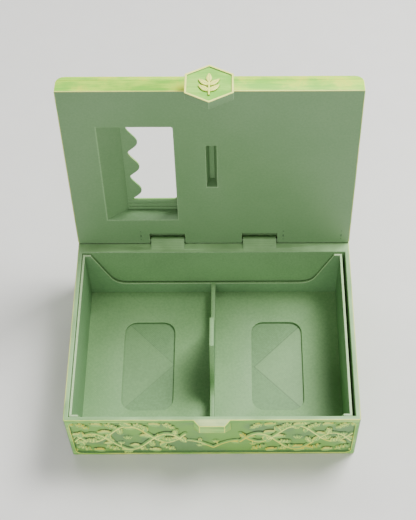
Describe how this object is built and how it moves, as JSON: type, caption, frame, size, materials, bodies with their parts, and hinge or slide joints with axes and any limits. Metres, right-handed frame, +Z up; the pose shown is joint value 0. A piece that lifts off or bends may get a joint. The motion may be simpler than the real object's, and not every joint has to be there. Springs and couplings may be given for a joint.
{
  "type": "card deck box",
  "caption": "Carved, printed box for stacks of sleeved cards, with a hinged windowed lid, a loose tray with push-out floor windows, and a hexagonal leaf badge as a magnetic clasp.",
  "frame": {"origin": "centre of the box's flat underside, on the surface it stands on", "axes": "+X to the right as seen from the front, +Y from the front towards the hinge, +Z up; the lid is stored open"},
  "size_m": [0.148, 0.1336, 0.1599],
  "materials": {
    "sage_print": "plain layered print in sage green",
    "sage_print_carved": "layered print in sage green, dry-brushed light on its relief",
    "ivory_print": "ivory paint over a layered print",
    "filament_pin": "smooth extruded filament",
    "nickel_magnet": "bright nickel plating"
  },
  "bodies": {
    "box": {"box_shell": "sage_print_carved", "box_magnet": "nickel_magnet"},
    "tray": {"card_tray": "sage_print"},
    "lid": {"lid_body": "sage_print", "lid_cover": "sage_print_carved", "clasp_badge": "sage_print_carved", "badge_leaf": "ivory_print", "badge_magnet": "nickel_magnet", "hinge_pin_left": "filament_pin", "hinge_pin_right": "filament_pin"}
  },
  "joints": [
    {"name": "lid_hinge", "type": "hinge", "parent": "box", "child": "lid", "pos_m": [0, 0.05295, 0.0425], "axis": [1, 0, 0], "range_deg": [0, 96.9]},
    {"name": "tray_shift", "type": "slide", "parent": "box", "child": "tray", "axis": [1, 0, 0], "range_m": [0, 0.0014]}
  ]
}
